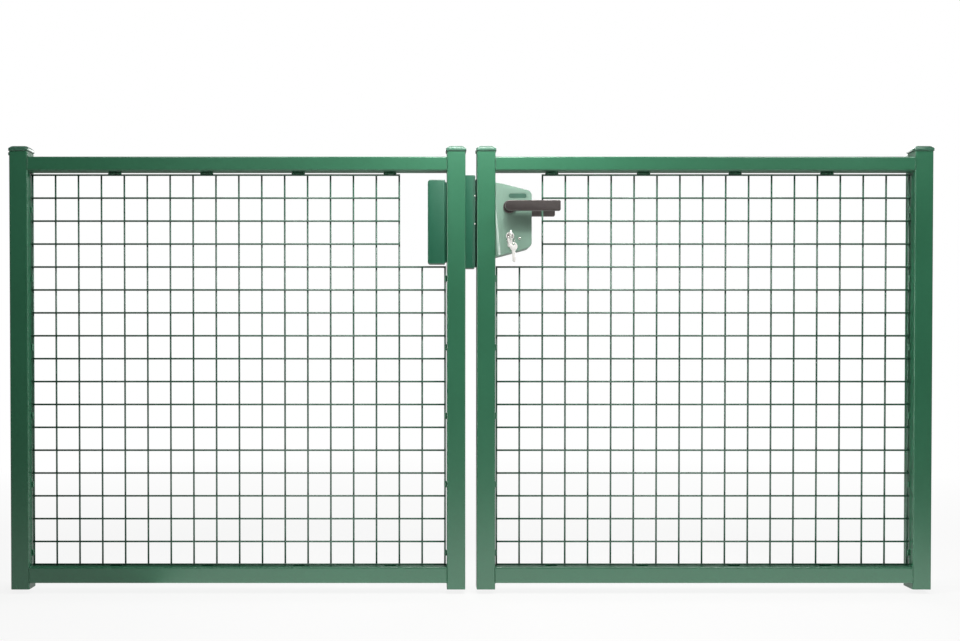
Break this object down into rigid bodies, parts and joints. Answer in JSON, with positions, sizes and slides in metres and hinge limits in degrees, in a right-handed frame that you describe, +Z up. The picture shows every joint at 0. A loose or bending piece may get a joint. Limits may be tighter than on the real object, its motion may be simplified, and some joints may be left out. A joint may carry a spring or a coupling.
{
  "type": "double garden gate",
  "caption": "Double mesh garden gate: two tube-framed leaves with welded wire panels hang on square posts, with a lever lock on one leaf and its keeper on the other.",
  "frame": {"origin": "Centre of the left post's foot, on the ground plane it stands on.", "axes": "+X runs from the left post to the right post, +Y points to the back of the gate (the leaves open towards -Y), +Z is up."},
  "size_m": [2.044, 0.133, 0.972],
  "materials": {
    "green_coat": "satin moss-green powder coat",
    "green_plastic": "glossy green plastic",
    "zinc_steel": "zinc-plated steel",
    "dark_metal": "dark anodised",
    "nickel": "nickel plated"
  },
  "bodies": {
    "posts": {"left_post": "green_coat", "right_post": "green_coat", "left_post_foot": "green_coat", "right_post_foot": "green_coat", "left_post_cap": "green_plastic", "right_post_cap": "green_plastic", "left_lower_hinge_post_leaf": "zinc_steel", "left_upper_hinge_post_leaf": "zinc_steel", "right_lower_hinge_post_leaf": "zinc_steel", "right_upper_hinge_post_leaf": "zinc_steel"},
    "left_leaf": {"left_hinge_stile": "green_coat", "left_meeting_stile": "green_coat", "left_top_rail": "green_coat", "left_bottom_rail": "green_coat", "left_mesh_panel": "green_coat", "left_hinge_stile_cap": "green_plastic", "left_meeting_stile_cap": "green_plastic", "left_lower_hinge_gate_leaf": "zinc_steel", "left_upper_hinge_gate_leaf": "zinc_steel", "keeper": "green_coat", "keeper_housing": "green_coat"},
    "right_leaf": {"right_hinge_stile": "green_coat", "right_meeting_stile": "green_coat", "right_top_rail": "green_coat", "right_bottom_rail": "green_coat", "right_mesh_panel": "green_coat", "right_hinge_stile_cap": "green_plastic", "right_meeting_stile_cap": "green_plastic", "right_lower_hinge_gate_leaf": "zinc_steel", "right_upper_hinge_gate_leaf": "zinc_steel", "lock_case": "green_coat", "lock_faceplate": "dark_metal", "lock_cylinder": "nickel", "front_handle_rose": "dark_metal", "back_handle_rose": "dark_metal"},
    "handle": {"front_handle": "dark_metal", "back_handle": "dark_metal", "handle_spindle": "zinc_steel"},
    "latch": {"latch_bolt": "nickel"},
    "key": {"cylinder_plug": "nickel", "key": "nickel"},
    "dead_bolt": {"dead_bolt": "nickel"}
  },
  "joints": [
    {"name": "left_leaf_swing", "type": "hinge", "parent": "posts", "child": "left_leaf", "pos_m": [-0.0065, -0.026, 0], "axis": [0, 0, -1], "range_deg": [0, 90]},
    {"name": "right_leaf_swing", "type": "hinge", "parent": "posts", "child": "right_leaf", "pos_m": [2.0065, -0.026, 0], "axis": [0, 0, 1], "range_deg": [0, 90]},
    {"name": "handle_turn", "type": "hinge", "parent": "right_leaf", "child": "handle", "pos_m": [1.082, -0.052, 0.839], "axis": [0, 1, 0], "range_deg": [0, 40], "stiffness_Nm_per_rad": 1.2, "springref_deg": -34.38},
    {"name": "latch_slide", "type": "slide", "parent": "right_leaf", "child": "latch", "axis": [1, 0, 0], "range_m": [0, 0.0111]},
    {"name": "key_turn", "type": "hinge", "parent": "right_leaf", "child": "key", "pos_m": [1.083, -0.052, 0.7765], "axis": [0, -1, 0], "range_deg": [0, 360]},
    {"name": "dead_bolt_slide", "type": "slide", "parent": "right_leaf", "child": "dead_bolt", "axis": [-1, 0, 0], "range_m": [0, 0.0165]}
  ],
  "couplings": [
    {"joint": "latch_slide", "follows": "handle_turn", "m_per_rad": 0.01575},
    {"joint": "key_turn", "follows": "dead_bolt_slide", "rad_per_m": 380.79}
  ]
}
